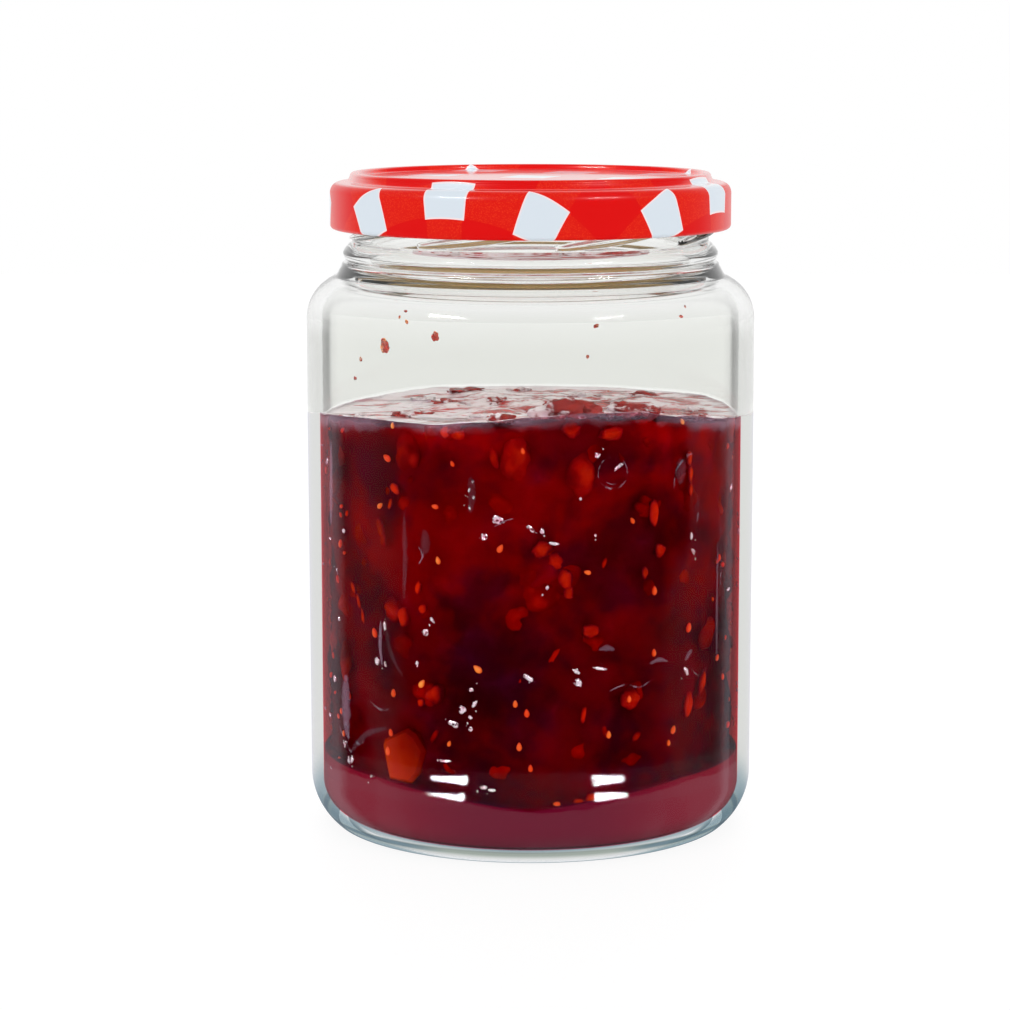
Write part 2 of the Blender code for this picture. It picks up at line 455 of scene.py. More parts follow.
def outerGlass():
    points = domeOutline(glass["ringInner"] - 1.2, glass["pushUp"] - 0.4, 0.4, 10)
    points += eased([points[-1], (glass["ringInner"] - 0.5, 0.12), (glass["ringInner"], 0.0)], 3)[1:]
    points += heelOutline()
    foot = points[-1]
    shoulder = (glass["shoulderRadius"], glass["shoulderStart"])
    atLine = (glass["shoulderRadius"], meanLine)
    points += straight(foot, atLine, 6) + [atLine] + straight(atLine, shoulder, 4)
    centre = (glass["shoulderRadius"] - glass["shoulderRound"], glass["shoulderStart"])
    points += arc(centre, glass["shoulderRound"], 0.0, 70.0, 26)
    collar = glass["collarRadius"]
    top = glass["collarTop"]
    bead = glass["beadRadius"]
    steps = [
        points[-1],
        (collar + 0.55, glass["collarBottom"]),
        (collar + 0.1, glass["collarBottom"] + 0.85),
        (collar - 0.1, top - 0.15),
        (glass["grooveRadius"], top + 0.25),
        (bead - 0.3, top + 0.9),
        (bead, top + 1.9),
        (bead - 0.3, glass["beadTop"] - 0.9),
        (bead - 1.0, glass["beadTop"]),
        (glass["neckRadius"], glass["beadTop"] + 0.9),
    ]
    points += eased(steps, 6)[1:]
    # close rows where the thread stands out of the neck
    threadTop = (glass["neckRadius"], thread["low"] + thread["rise"] + 2.0)
    points += straight(points[-1], threadTop, 46) + [threadTop]
    return points


def mouthLip():
    edge = (glass["neckRadius"] - glass["boreRadius"] - glass["lipFlat"]) / 2.0
    middle = glass["mouthTop"] - edge
    outer = arc((glass["neckRadius"] - edge, middle), edge, 0.0, 90.0, 8)
    inner = arc((glass["boreRadius"] + edge, middle), edge, 90.0, 180.0, 8)
    return outer + inner


def innerShoulder():
    # from the bore down a sloping throat into the wide body
    bend = glass["innerShoulderRound"]
    start = glass["shoulderStart"]
    bore = glass["boreRadius"]
    over = arc((glass["innerRadius"] - bend, start), bend, 58.0, 0.0, 16)
    top = glass["throatTop"]
    throat = [(bore, top + 1.5), (bore, top), (bore + 0.5, top - 1.8), (bore + 2.4, top - 4.2)]
    return eased(throat + [over[0]], 6)[:-1] + over


def innerHeel(reach, steps=14):
    # the inside of the heel down to the middle of the floor, moved out into the wall by reach
    centre = (glass["innerRadius"] - glass["innerHeelRound"], glass["floorAtHeel"] + glass["innerHeelRound"])
    points = arc(centre, glass["innerHeelRound"] + reach, 0.0, -90.0, steps)
    rise = glass["floorAtCentre"] - glass["floorAtHeel"]
    return points + domeOutline(centre[0], rise, glass["floorAtHeel"] - reach, 12)[-2::-1]


def ridgeHeight(degrees, z):
    # how far the thread stands out of the neck at this turn and height
    turn = (degrees - thread["first"]) % (360.0 / thread["count"])
    along = turn / thread["sweep"]
    if along > 1.0 or z < glass["beadTop"] + 0.5:
        return 0.0
    swell = math.sin(math.pi * (thread["blunt"] + (1.0 - 2.0 * thread["blunt"]) * along)) ** 0.5
    middle = thread["low"] + thread["rise"] * along
    across = abs(z - middle) / (thread["halfHeight"] * swell)
    return thread["reach"] * swell * (1.0 - smoothStep(across, 0.35, 1.05))


def heelClimb(ground):
    # how far the smooth syrup's upper edge lies above its height at the front
    return sideways(ground).between(0.0, glass["climbBy"], "LINEAR") * glass["syrupClimb"]


def makeGlassMaterial(name, gleam):
    # bare wall: refracting glass, a little darker and greener where it is seen along its length
    material, ground, ending = newMaterial(name)
    facing = facingOf(ground)
    neck = heightOf(ground).between(*glassLook["neckBlend"])
    inside = 1.0 - radiusOf(ground).between(*glassLook["insideEnds"])
    colour = mixed(facing.between(0.5, 0.68) * (1.0 - inside), glassLook["clear"], glassLook["edge"])
    # painted shade: a dark line where the inside wall is seen along its length
    seam = facing.between(0.59, 0.70) * 0.2 + facing.between(0.68, 0.76) * 0.8
    seam = seam * (1.0 - facing.between(0.90, 0.97))
    colour = mixed(seam * inside, colour, glassLook["innerEdge"])
    colour = mixed(neck, colour, glassLook["neck"])
    inputs = {"Base Color": colour, "Roughness": 0.0, "IOR": glassLook["ior"], "Transmission Weight": 1.0,
              "Specular Tint": (*gleam, 1.0)}
    joinTo(ending, painted(ground, inputs))
    return material


def makeWetGlassMaterial():
    # wall that backs onto jam: no bend in the light, and a shine that grows towards the sides
    material, ground, ending = newMaterial("jamGlass")
    facing = facingOf(ground)
    height = heightOf(ground)
    place = placeOf(ground)
    wander = grainOf(ground, place, 120.0, 3.0) - 0.5
    upright = stretched(ground, place, (1.0, 1.0, 0.3))
    patches = grainOf(ground, upright, 46.0, 2.0)
    low = 1.0 - height.between(*wetBands["low"])
    edge = facing.between(*wetBands["edge"])
    clear = layered(ground, edge, tint(ground, "wetClear"), tint(ground, "wetEdge"))
    jamEnd = facing.within(*wetBands["jamEnd"]) * height.between(*wetBands["jamEndHeight"])
    clear = layered(ground, jamEnd, clear, tint(ground, "wetRim"))
    clear = layered(ground, facing.between(*wetBands["heelEdge"]) * low, clear, tint(ground, "heelEdge"))
    clear = layered(ground, height.within(*wetBands["foot"]), clear, tint(ground, "foot"))
    footSide = height.within(*wetBands["footSide"]) * sideways(ground).between(*wetBands["footSideways"])
    clear = layered(ground, footSide, clear, tint(ground, "footSide"))

    # the ring round the heel, where the wall steps out a hair, mirrors the lights
    lowEnd, highEnd, pitch, crest, slope, swing = glassLook["ripple"]
    step = height.maths("MINIMUM", height, highEnd)
    step = step.maths("MAXIMUM", step, lowEnd)
    turns = (step - crest) * (math.tau / pitch)
    wave = step.maths("SINE", turns) * (swing * pitch / math.tau)
    aside = sideways(ground) ** 2.0
    lean = ((step - crest) * (aside * 0.5 + 1.0) * slope + wave) * -1.0
    bump = ground.node("ShaderNodeBump", {}, {"Strength": 1.0, "Distance": 0.001, "Height": lean})
    shine = {"Color": (0.90, 0.88, 1.0, 1.0), "Roughness": 0.02, "Normal": bump}
    shiny = ground.node("ShaderNodeBsdfGlossy", {}, shine)

    heelTop = glass["syrupTop"]
    wavy = height + wander * 3.5 - heelClimb(ground)
    heel = 1.0 - wavy.between(heelTop - 0.2, heelTop + 0.2)
    fade = glassLook["rippleFade"]
    ring = height.within((lowEnd - fade, lowEnd), (highEnd, highEnd + fade))
    right = acrossJar(ground).between(-0.1, 0.1)
    before, after = wetBands["rimRight"]
    band = facing.between(*wetBands["rim"]) * (1.0 - right * facing.between(*after) * 0.6)
    band = band * (1.0 - right * (1.0 - facing.between(*before)) * 0.7)
    share = band * glassLook["rimShine"] + (facing ** 9.0) * 0.5 * (1.0 - low * 0.8)
    patchy = patches.between(*wetBands["filmPatches"])
    share = share + facing.between(*wetBands["film"]) * patchy * glassLook["filmShine"]
    sides = facing.between(0.1, 0.5) * 0.5 + 0.85
    share = share + heel * sides * glassLook["heelShine"] + ring * glassLook["ringShine"]
    share = share + glassLook["wetShine"]
    joinTo(ending, layered(ground, share, clear, shiny))
    return material


def tint(ground, name):
    # clear glass of one of the colours above
    return clearOf(ground, glassLook[name])


def makeInnerGlassMaterial():
    # where the glass touches jam, and so neither bends nor mirrors light
    material, ground, ending = newMaterial("jamGlassInside")
    joinTo(ending, tint(ground, "wetClear"))
    return material


def makeJar():
    outside = outerGlass()
    outline = outside + mouthLip() + innerShoulder()
    inner = (glass["innerRadius"], meanLine)
    outline += straight(outline[-1], inner, 4) + [inner]
    below = innerHeel(0.0)
    outline += straight(inner, below[0], 6) + below

    def shaped(degrees, r, z):
        if abs(r - glass["neckRadius"]) < onNeck:
            return r + ridgeHeight(degrees, z), z
        if z == meanLine:
            return r, rimHeight(degrees) + glass["jamLine"]
        return r, z

    points, faces, ringOf = turned(outline, shaped)
    slots = []
    for ring in ringOf:
        dry = max(outline[ring][1], outline[ring + 1][1]) > meanLine
        high = min(outline[ring][1], outline[ring + 1][1]) > glassLook["neckBottom"]
        slots.append(3 if high else 0 if dry else 1 if ring < len(outside) else 2)
    materials = [
        makeGlassMaterial("clearGlass", glassLook["gleam"]),
        makeWetGlassMaterial(),
        makeInnerGlassMaterial(),
        makeGlassMaterial("neckGlass", glassLook["neckGleam"]),
    ]
    jar = makeObject("glassJar", points, faces, materials, slots)
    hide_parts("jar")
    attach(jar, "root")


print("scene: glass jar")
makeJar()


lid = {  # millimetres
    "top": 140.0, "radius": 42.7, "sheet": 0.5, "shoulderTop": 138.0, "shoulderRound": 2.3,
    "rimRadius": 38.4, "rimRound": 0.8, "rimWidth": 2.1, "panelDepth": 1.1, "riserRun": 0.9,
    "curlRadius": 0.95, "curlTuck": 1.6, "curlBottom": 128.1,
}
lidPrint = {
    "check": 22.0,  # millimetres from one red band to the next
    "bandShare": 0.58,
    "lineShare": 0.016,  # width of the white line round each pale field
    "turn": 24.0,
    "red": (0.74, 0.0, 0.0),
    "tone": (0.82, 0.032, 0.006),
    "pale": (0.70, 0.77, 0.84),
    "line": (0.95, 0.96, 0.98),
    "lacquer": (0.50, 0.33, 0.10),  # gold, on the inside
    "lacquerPale": (0.58, 0.41, 0.15),
}


def lidOutline():
    # the printed outside from the middle to the roll's tuck, and the lacquered inside back to the middle
    shoulder = (lid["radius"] - lid["shoulderRound"], lid["shoulderTop"] - lid["shoulderRound"])
    rim = (lid["rimRadius"] - lid["rimRound"], lid["top"] - lid["rimRound"])
    panel = (lid["rimRadius"] - lid["rimWidth"], lid["top"] - lid["panelDepth"])
    curl = (lid["radius"] - lid["curlRadius"], lid["curlBottom"] + lid["curlRadius"])
    sheet = lid["sheet"]

    outside = [(0.0, panel[1])] + straight((0.0, panel[1]), panel, 8)
    overRim = arc(rim, lid["rimRound"], 150.0, 0.0, 16)
    outside += eased([panel, (panel[0] + 0.35, panel[1] + 0.12), overRim[0]], 4)[:-1] + overRim
    foot = (lid["rimRadius"] + lid["riserRun"], lid["shoulderTop"] + 0.15)
    overShoulder = arc(shoulder, lid["shoulderRound"], 85.0, 0.0, 16)
    outside += eased([overRim[-1], (foot[0] - 0.45, foot[1] + 0.25), foot, overShoulder[0]], 5)[1:-1]
    outside += overShoulder
    below = (lid["radius"], curl[1])
    outside += straight(overShoulder[-1], below, 4)
    outside += arc(curl, lid["curlRadius"], 0.0, -225.0, 22)

    inside = [(lid["radius"] - sheet, curl[1] + lid["curlTuck"])]
    inside += arc(shoulder, lid["shoulderRound"] - sheet, 0.0, 85.0, 12)
    inside += [
        (lid["rimRadius"] + lid["riserRun"] - 0.6 * sheet, lid["shoulderTop"] - 0.8 * sheet),
        (lid["rimRadius"] - sheet, rim[1] - 0.6 * sheet),
        (rim[0], lid["top"] - sheet),
        (panel[0], panel[1] - sheet),
        (0.0, panel[1] - sheet),
    ]
    return outside, inside


def makePrintMaterial():
    # gloss print: a turned check of two red bands on a pale blue ground, in the flat sheet's own plane
    material, ground, ending = newMaterial("lidPrint")
    place = ground.node("ShaderNodeUVMap", {"uv_map": "sheet"})
    turn = {"Vector": place, "Rotation": (0.0, 0.0, math.radians(lidPrint["turn"]))}
    parts = ground.node("ShaderNodeMapping", {}, turn)
    along = parts.node("ShaderNodeSeparateXYZ", {}, {0: parts}, output="X")
    across = parts.node("ShaderNodeSeparateXYZ", {}, {0: parts}, output="Y")
    pitch = lidPrint["check"]
    spots = ground.node("ShaderNodeTexVoronoi", {}, {"Vector": place, "Scale": 3.2}, output="Distance")
    bands = []
    lines = []
    for wire in (along, across):
        phase = (wire / pitch + 100.0).maths("FRACT", wire / pitch + 100.0)
        edge = phase.maths("ABSOLUTE", phase - 0.5)
        half = lidPrint["bandShare"] / 2
        bands.append(edge < half)
        lines.append(edge < half - lidPrint["lineShare"])
    both = bands[0] * bands[1]
    either = bands[0].maths("MAXIMUM", bands[0], bands[1])
    inner = bands[0].maths("MAXIMUM", lines[0], lines[1])
    grain = spots.between(0.28, 0.42)
    tone = mixed(grain * 0.8, lidPrint["tone"], lidPrint["red"])
    colour = mixed(either, lidPrint["pale"], tone)
    colour = mixed(both, colour, lidPrint["red"])
    colour = mixed((either - inner) * 0.8, colour, lidPrint["line"])
    facing = facingOf(ground)
    body = {"Base Color": colour, "Roughness": 0.3, "Specular IOR Level": 0.06}
    matt = painted(ground, body)
    shiny = ground.node("ShaderNodeBsdfGlossy", {}, {"Color": (1.0, 1.0, 1.0, 1.0), "Roughness": 0.06})
    top = heightOf(ground).between(lid["shoulderTop"] - 0.6, lid["shoulderTop"])
    share = facing.between(0.45, 0.9) * (top * 0.45 + 0.1) + 0.003
    joinTo(ending, layered(ground, share.clamped(), matt, shiny))
    return material


def makeLacquerMaterial():
    material, ground, ending = newMaterial("goldLacquer")
    grain = ground.node("ShaderNodeTexNoise", {}, {"Scale": 900.0, "Detail": 2.0})
    colour = mixed(grain, lidPrint["lacquer"], lidPrint["lacquerPale"])
    # the lacquer's glow is painted light that brightens the inside of the lid
    inputs = {"Base Color": colour, "Roughness": 0.32, "Metallic": 0.2,
              "Emission Color": colour, "Emission Strength": 0.2}
    joinTo(ending, painted(ground, inputs))
    return material


def makeLid():
    outside, inside = lidOutline()
    outline = outside + inside
    points, faces, ringOf = turned(outline)
    # the outline runs from the top inwards, so its faces are turned over to point out
    faces = [list(reversed(face)) for face in faces]
    slots = [0 if ring < len(outside) - 4 else 1 for ring in ringOf]
    piece = makeObject("lid_printed", points, faces, [makePrintMaterial(), makeLacquerMaterial()], slots)
    unroll = [0.0]
    for start, end in zip(outline, outline[1:]):
        unroll.append(unroll[-1] + math.dist(start, end))
    layer = piece.data.uv_layers.new(name="sheet")
    for polygon, ring in zip(piece.data.polygons, ringOf):
        for corner in polygon.loop_indices:
            co = piece.data.vertices[piece.data.loops[corner].vertex_index].co
            r = math.hypot(co.x, co.y) / mm
            rowRing = ring if abs(r - outline[ring][0]) < abs(r - outline[ring + 1][0]) else ring + 1
            if abs(outline[ring][0] - outline[ring + 1][0]) < 1e-4:
                z = co.z / mm
                rowRing = ring if abs(z - outline[ring][1]) < abs(z - outline[ring + 1][1]) else ring + 1
            angle = math.atan2(co.y, co.x)
            layer.data[corner].uv = (unroll[rowRing] * math.cos(angle), unroll[rowRing] * math.sin(angle))
    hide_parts("lid")
    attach(piece, "root")


print("scene: lid")
makeLid()


jam = {  # millimetres
    "level": 89.2,
    "ripple": 0.25,
    "reach": 0.5,  # how far the jam reaches into the glass wall
    "topRings": 60,
    "gelColour": (0.92, 0.05, 0.32),
    "gelDensity": 900.0,
    "froth": (0.86, 0.76, 0.82),
    "frothPaintedGlow": 0.16,  # painted light: a glow that brightens the froth where the lid and the walls keep light from it
    "film": (0.46, 0.27, 0.38),  # froth seen through the wall, under the rim
    "filmShare": 0.34,
    "filmDepth": 6.0,
    "frothLeft": ((-25.0, 30.0), 0.09),  # between which millimetres froth grows thinner, and by how much
    "frothEdgeSheen": ((36.0, 44.5), 0.07),  # painted sheen: distances from the axis over which the froth is drawn whiter, where the top is seen at a grazing angle
    "frothBack": ((-20.0, 30.0), 0.06),
    "frothBlend": (0.50, 0.62),
    "topBlend": (1.2, 0.8),  # how far under the level the open top starts, and is whole
    "holes": (0.34, 0.44),
    "pulp": (0.50, 0.025, 0.020),
    "heaps": (  # degrees round, radius, height, spread
        (270.0, 33.0, 1.6, 12.0),
        (318.0, 35.0, 1.0, 9.0),
        (28.0, 30.0, 1.7, 8.0),
        (120.0, 28.0, 1.3, 12.0),
        (80.0, 10.0, 0.9, 14.0),
    ),
}


def heapHeight(x, y):
    # how far the jam's top stands above its level, all in millimetres
    height = 0.0
    for degrees, radius, peak, spread in jam["heaps"]:
        angle = math.radians(degrees)
        away = math.hypot(x - radius * math.cos(angle), y - radius * math.sin(angle))
        height += peak * math.exp(-((away / spread) ** 2))
    rough = noise.fractal(Vector((x, y, 3.0)) * 0.16, 0.8, 2.1, 4)
    height += jam["ripple"] * math.sin(0.31 * x + 1.0) * math.sin(0.27 * y + 0.4) + 0.55 * rough
    climb = smoothStep(math.hypot(x, y), 14.0, glass["innerRadius"])
    rim = rimHeight(math.degrees(math.atan2(y, x)) % 360.0) - jam["level"]
    return height + climb * (rim + 0.15 * rough - height)


def makeGelMaterial():
    # clear red jelly: no edge against the wall, a film of froth with red pulp between on its open top
    material, ground, ending = newMaterial("jamGel")
    side = glass["innerRadius"] + jam["reach"]
    starts, whole = jam["topBlend"]
    top = heightOf(ground).between(jam["level"] - starts, jam["level"] - whole)
    top = top * (1.0 - radiusOf(ground).between(side - 0.15, side - 0.1))
    place = placeOf(ground)
    leftSpan, leftShare = jam["frothLeft"]
    left = 1.0 - alongAxis(ground, "X").between(*leftSpan)
    drawn = stretched(ground, place, (0.45, 1.0, 1.0))
    swirl = {"Vector": drawn, "Scale": 190.0, "Detail": 5.0, "Roughness": 0.65, "Distortion": 0.6}
    streaks = ground.node("ShaderNodeTexNoise", {}, swirl)
    holes = grainOf(ground, drawn, 75.0, 3.0)
    # whiter froth towards the wall: a painted sheen
    sheenSpan, sheenShare = jam["frothEdgeSheen"]
    edge = radiusOf(ground).between(*sheenSpan)
    backSpan, backShare = jam["frothBack"]
    back = alongAxis(ground, "Y").between(*backSpan)
    more = streaks + left * leftShare + edge * sheenShare + back * backShare
    white = more.between(*jam["frothBlend"])
    clear = clearOf(ground)
    # the froth's glow is painted light that brightens it
    froth = {"Base Color": (*jam["froth"], 1.0), "Roughness": 0.15, "IOR": 1.4,
             "Emission Color": (*jam["froth"], 1.0), "Emission Strength": jam["frothPaintedGlow"]}
    pulp = {"Base Color": (*jam["pulp"], 1.0), "Roughness": 0.25, "Specular IOR Level": 0.25}
    cover = layered(ground, white, painted(ground, pulp), painted(ground, froth))
    share = (holes.between(*jam["holes"]) * 0.4 + 0.55) * top
    surface = layered(ground, share, clear, cover)
    # under the rim the froth thins out down the wall, deeper at the sides
    under = pointValue(ground, "under") - sideways(ground).between(0.6, 0.9) * 1.8
    thin = (1.0 - (under + (streaks - 0.5) * 4.0).between(-0.6, 1.6)) * (1.0 - top) * jam["filmShare"]
    filmColour = {"Base Color": (*jam["film"], 1.0), "Roughness": 0.3, "Specular IOR Level": 0.2}
    film = painted(ground, filmColour)
    surface = layered(ground, thin, surface, film)
    tintOf = {"Color": (*jam["gelColour"], 1.0), "Density": jam["gelDensity"]}
    joinTo(ending, surface, ground.node("ShaderNodeVolumeAbsorption", {}, tintOf))
    return material


def jamColour(ground):
    # the dark mass in soft clouds of two colours, which change with height, painted brighter at the left and
    # right against the shade of the long way through the jelly
    place = placeOf(ground)
    clouds = {"Vector": place, "Scale": 55.0, "Detail": 4.0, "Distortion": 0.6}
    broad = ground.node("ShaderNodeTexNoise", {}, clouds)
    fine = grainOf(ground, place, 260.0, 3.0)
    cloud = (broad + (fine - 0.5) * 0.3).between(0.34, 0.68)
    height = heightOf(ground)
    colour = None
    for low, high, dark, red in core["layers"]:
        layer = mixed(cloud, dark, red)
        colour = mixed(height.between(low, high), colour, layer) if colour else layer
    # painted light: the mass is brighter at the left and right
    gained = {0: colour, "Scale": core["sidePaintedLight"]}
    bright = ground.node("ShaderNodeVectorMath", {"operation": "SCALE"}, gained)
    return mixed(sideways(ground).between(0.70, 0.86), colour, bright)


def makeCoreMaterial():
    # the jam's dark mass, and the smooth syrup in the heel, painted paler as lit from the floor below and
    # paler still at the sides
    material, ground, ending = newMaterial("jamCore")
    colour = jamColour(ground)
    heel = 1.0 - (heightOf(ground) - heelClimb(ground)).between(glass["syrupTop"] - 0.3, glass["syrupTop"])
    colour = mixed(heel, colour, mixed(sideways(ground).between(0.2, 0.8), core["heel"], core["paintedHeelSide"]))
    # a painted shade along the very bottom of the jam
    colour = mixed(1.0 - heightOf(ground).between(2.6, 3.8), colour, core["foot"])
    inputs = {"Base Color": colour, "Roughness": 0.5, "Specular IOR Level": 0.0}
    joinTo(ending, painted(ground, inputs))
    return material


def jamTop(wall, lower):
    # rings of the top from the wall in to the axis, at the level minus lower
    rings = []
    for ring in range(jam["topRings"] + 1):
        rings.append((wall * (1.0 - ring / jam["topRings"]), jam["level"] - lower))
    return rings


def makeGel():
    wall = glass["innerRadius"] + jam["reach"]
    below = innerHeel(jam["reach"])
    depth = jam["filmDepth"]
    filmFoot = (wall, jam["level"] - depth)
    outline = list(reversed(below)) + straight(below[0], filmFoot, 8) + [filmFoot]
    outline += straight(filmFoot, (wall, jam["level"]), 8) + jamTop(wall, 0.0)

    def shaped(degrees, r, z):
        angle = math.radians(degrees)
        share = max(1.0 - (jam["level"] - z) / depth, 0.0)
        return r, z + share * heapHeight(r * math.cos(angle), r * math.sin(angle))

    points, faces, _ = turned(outline, shaped)
    gel = makeObject("jam_gel", points, faces, [makeGelMaterial()])
    under = []
    for r, z in outline:
        under += [jam["level"] - z] * (1 if r < atAxis else turnSteps)
    gel.data.attributes.new("under", "FLOAT", "POINT").data.foreach_set("value", under)
    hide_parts("jam")
    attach(gel, "root")


core = {  # millimetres, and colours
    "inset": 1.8,  # how deep the dark mass lies behind the wall
    "relief": 1.4,
    "below": 1.0,  # how far its level lies under the jam's
    "heelReach": 0.3,  # how far the heel's syrup reaches into the wall
    "layers": (  # from this height to that one the jam turns to these two colours
        (0.0, 0.0, (0.038, 0.001, 0.030), (0.14, 0.001, 0.020)),
        (42.0, 60.0, (0.078, 0.001, 0.030), (0.25, 0.002, 0.010)),
        # the palest top layer is painted light that lifts the shade under the froth
        (83.0, 88.5, (0.16, 0.002, 0.030), (0.45, 0.004, 0.010)),
    ),
    "sidePaintedLight": 1.28,  # painted light: how much brighter the mass is drawn at the left and right
    # painted light: the heel's syrup, brighter for the light from below, and brighter still at the sides
    "heel": (0.14, 0.003, 0.025),
    "paintedHeelSide": (0.21, 0.004, 0.024),
    # painted shade along the very bottom of the jam
    "foot": (0.012, 0.006, 0.009),
}


def makeCore():
    wall = glass["innerRadius"] - core["inset"]
    below = innerHeel(core["heelReach"])
    heelTop = glass["syrupTop"]
    outline = list(reversed(below))
    outline += [(glass["innerRadius"] + core["heelReach"], heelTop - 0.4)]
    outline += [(glass["innerRadius"], heelTop), (wall, heelTop + 0.3)]
    coreTop = jam["level"] - core["below"]
    outline += straight((wall, heelTop + 0.3), (wall, coreTop), 90) + jamTop(wall, core["below"])

    def shaped(degrees, r, z):
        angle = math.radians(degrees)
        spot = Vector((r * math.cos(angle), r * math.sin(angle), z))
        climb = glass["syrupClimb"] * min(abs(math.cos(angle)) / glass["climbBy"], 1.0)
        if z < heelTop + 0.1:
            return r, z + climb * smoothStep(z, below[0][1], heelTop - 0.4)
        rough = noise.fractal(spot * 0.13, 0.9, 2.1, 4)
        if z > coreTop - 0.01:
            return r, z + heapHeight(spot.x, spot.y) - 0.5 + 0.9 * rough
        lift = climb * (coreTop - z) / (coreTop - heelTop)
        return r + core["relief"] * min(rough, 0.9) * smoothStep(z, heelTop, heelTop + 2.0), z + lift

    points, faces, _ = turned(outline, shaped)
    mass = makeObject("jam_core", points, faces, [makeCoreMaterial()])
    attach(mass, "root")


def unitBall(level):
    # directions and faces of an even ball
    ball = bmesh.new()
    bmesh.ops.create_icosphere(ball, subdivisions=level, radius=1.0)
    ball.verts.ensure_lookup_table()
    points = [vert.co.copy() for vert in ball.verts]
    faces = [[vert.index for vert in face.verts] for face in ball.faces]
    ball.free()
    return points, faces


balls = {"coarse": unitBall(2), "middling": unitBall(3), "fine": unitBall(4)}


class Pile:
    # many small shapes gathered into one mesh, with two numbers per point for the material:
    # open is 1 where a shape faces out of the jam and 0 round its edge, and tone is the shape's own
    def __init__(self):
        self.points = []
        self.faces = []
        self.open = []
        self.tone = []

    def blob(self, ball, middle, radii, spin, rough, grain, reach, tone=0.0, sunk=False):
        # adds one uneven ball in millimetres, pressed flat where it would pass the radius reach
        ways, faces = balls[ball]
        start = len(self.points)
        away = Vector((random.uniform(-50, 50), random.uniform(-50, 50), random.uniform(-50, 50)))
        turn = spin.to_matrix()
        out = Vector((middle.x, middle.y, 0.0)).normalized()
        for way in ways:
            swell = 1.0 + rough * noise.fractal(way * grain + away, 1.2, 2.0, 2)
            spot = turn @ Vector((way.x * radii[0], way.y * radii[1], way.z * radii[2])) * swell + middle
            r = math.hypot(spot.x, spot.y)
            if r > reach:
                spot.x *= reach / r
                spot.y *= reach / r
            if sunk and spot.z > jam["level"] - 2.0:
                spot.z = min(spot.z, jam["level"] + heapHeight(spot.x, spot.y) - 0.5)
            self.points.append(tuple(spot * mm))
            self.open.append(smoothStep((turn @ way).dot(out), 0.1, 1.0))
        self.tone.extend([tone] * len(ways))
        self.faces.extend([[start + corner for corner in face] for face in faces])

    def stroke(self, path, half, flat, tone, around=8):
        # adds a tube along the path that thins towards both ends, pressed to the thickness flat
        start = len(self.points)
        last = len(path) - 1
        for index, spot in enumerate(path):
            ahead = (path[min(index + 1, last)] - path[max(index - 1, 0)]).normalized()
            out = Vector((spot.x, spot.y, 0.0)).normalized()
            side = ahead.cross(out).normalized()
            share = max(math.sin(math.pi * index / last), 0.0) ** 0.5
            wave = 1.0 + 0.45 * noise.noise(spot * 1.1)
            for corner in range(around):
                a = math.tau * corner / around
                swell = side * math.cos(a) * half * share * wave + out * math.sin(a) * flat * share
                self.points.append(tuple((spot + swell) * mm))
                self.open.append(max(math.sin(a), 0.0))
                self.tone.append(tone)
        for index in range(last):
            for corner in range(around):
                after = (corner + 1) % around
                a = start + index * around
                self.faces.append([a + corner, a + after, a + around + after, a + around + corner])

    def finish(self, name, material):
        piece = makeObject(name, self.points, self.faces, [material])
        for layer, values in (("open", self.open), ("tone", self.tone)):
            piece.data.attributes.new(layer, "FLOAT", "POINT").data.foreach_set("value", values)
        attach(piece, "root")


def pointValue(ground, name):
    return ground.node("ShaderNodeAttribute", {"attribute_name": name}, {}, output="Fac")


def wallSpot(degrees, height, radius):
    angle = math.radians(degrees)
    return Vector((radius * math.cos(angle), radius * math.sin(angle), height))


def wallSpin(degrees, tilt):
    # turns a ball's X outwards, and its Y and Z by tilt round that way
    outwards = Euler((0.0, 0.0, math.radians(degrees))).to_matrix()
    return (outwards @ Euler((math.radians(tilt), 0.0, 0.0)).to_matrix()).to_euler()


